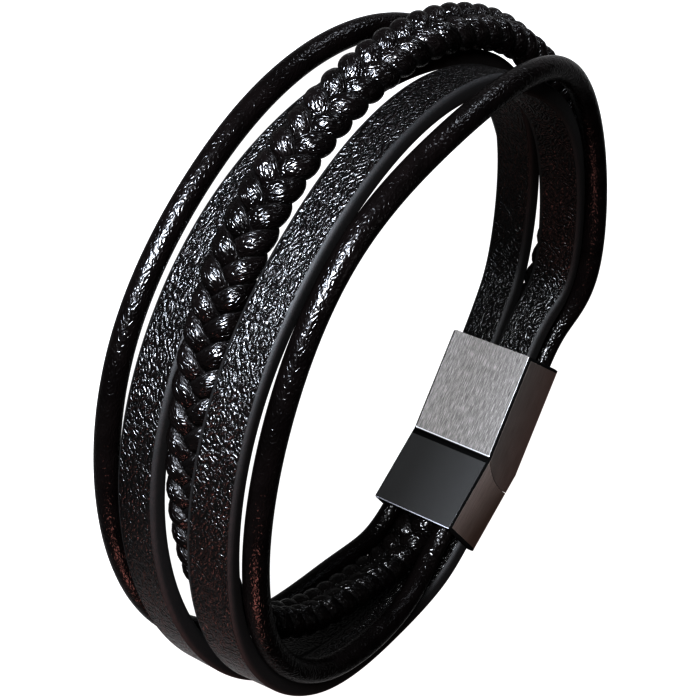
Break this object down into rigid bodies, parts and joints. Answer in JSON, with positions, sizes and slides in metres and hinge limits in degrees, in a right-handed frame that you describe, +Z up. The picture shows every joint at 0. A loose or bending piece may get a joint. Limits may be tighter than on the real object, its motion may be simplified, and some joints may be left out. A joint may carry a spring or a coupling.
{
  "type": "bracelet",
  "caption": "A closed men's bracelet of layered black leather: round cords, flat grained straps and a flat braid side by side, held by a dark steel magnetic clasp, lying on its side.",
  "frame": {"origin": "on the floor under the middle of the bracelet's box, on the wrist's axis", "axes": "+X towards the side by the clasp's short half, the bracelet's longest extent; +Y towards the clasp; +Z up along the wrist's axis, the shortest extent"},
  "size_m": [0.0778, 0.0715, 0.0232],
  "materials": {
    "cord_leather": "black, glossy with fine wrinkles",
    "strap_leather": "black, satin with a pebbled grain",
    "braid_leather": "black, glossy with fine wrinkles",
    "clasp_brushed_steel": "dark coated steel, brushed along its length",
    "clasp_dark_steel": "dark coated steel, fine satin"
  },
  "bodies": {
    "root": {"round_cord_low": "cord_leather", "strap_low": "strap_leather", "braided_cord": "braid_leather", "strap_high": "strap_leather", "round_cord_high": "cord_leather", "clasp_long_half": "clasp_brushed_steel", "clasp_short_half": "clasp_dark_steel"}
  },
  "joints": []
}
